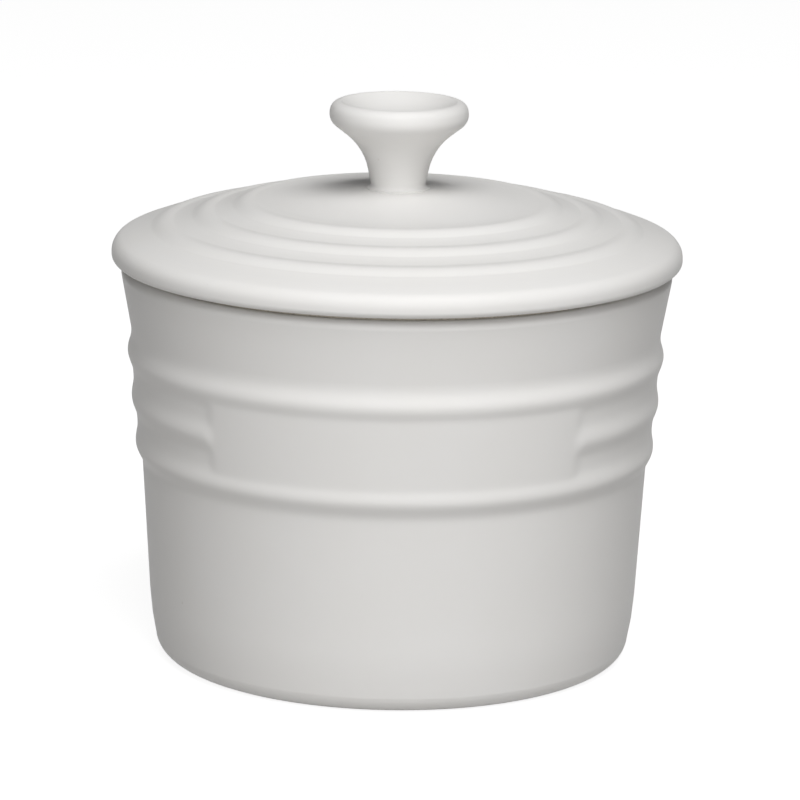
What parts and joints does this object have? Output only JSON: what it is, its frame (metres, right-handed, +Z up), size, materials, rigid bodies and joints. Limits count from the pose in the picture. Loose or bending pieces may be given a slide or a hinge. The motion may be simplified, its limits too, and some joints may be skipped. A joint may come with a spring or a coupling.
{
  "type": "condiment jar",
  "caption": "Round glazed stoneware jar with soft ribs round its wall and a loose ringed lid that lifts off by a dished knob.",
  "frame": {"origin": "centre of the foot ring, on the surface that the jar stands on", "axes": "+Z up the jar's axis, -Y towards the front, where the middle rib stops"},
  "size_m": [0.108, 0.108, 0.1066],
  "materials": {
    "jar_glaze": "satin white glaze over stoneware, bare on the foot ring",
    "lid_glaze": "satin white glaze over stoneware, bare on the seat ring",
    "knob_glaze": "satin white glaze over stoneware"
  },
  "bodies": {
    "jar": {"jar_body": "jar_glaze"},
    "lid": {"lid": "lid_glaze", "lid_knob": "knob_glaze"}
  },
  "joints": [
    {"name": "lid_lift", "type": "slide", "parent": "jar", "child": "lid", "axis": [0, 0, 1], "range_m": [0, 0.08]}
  ]
}
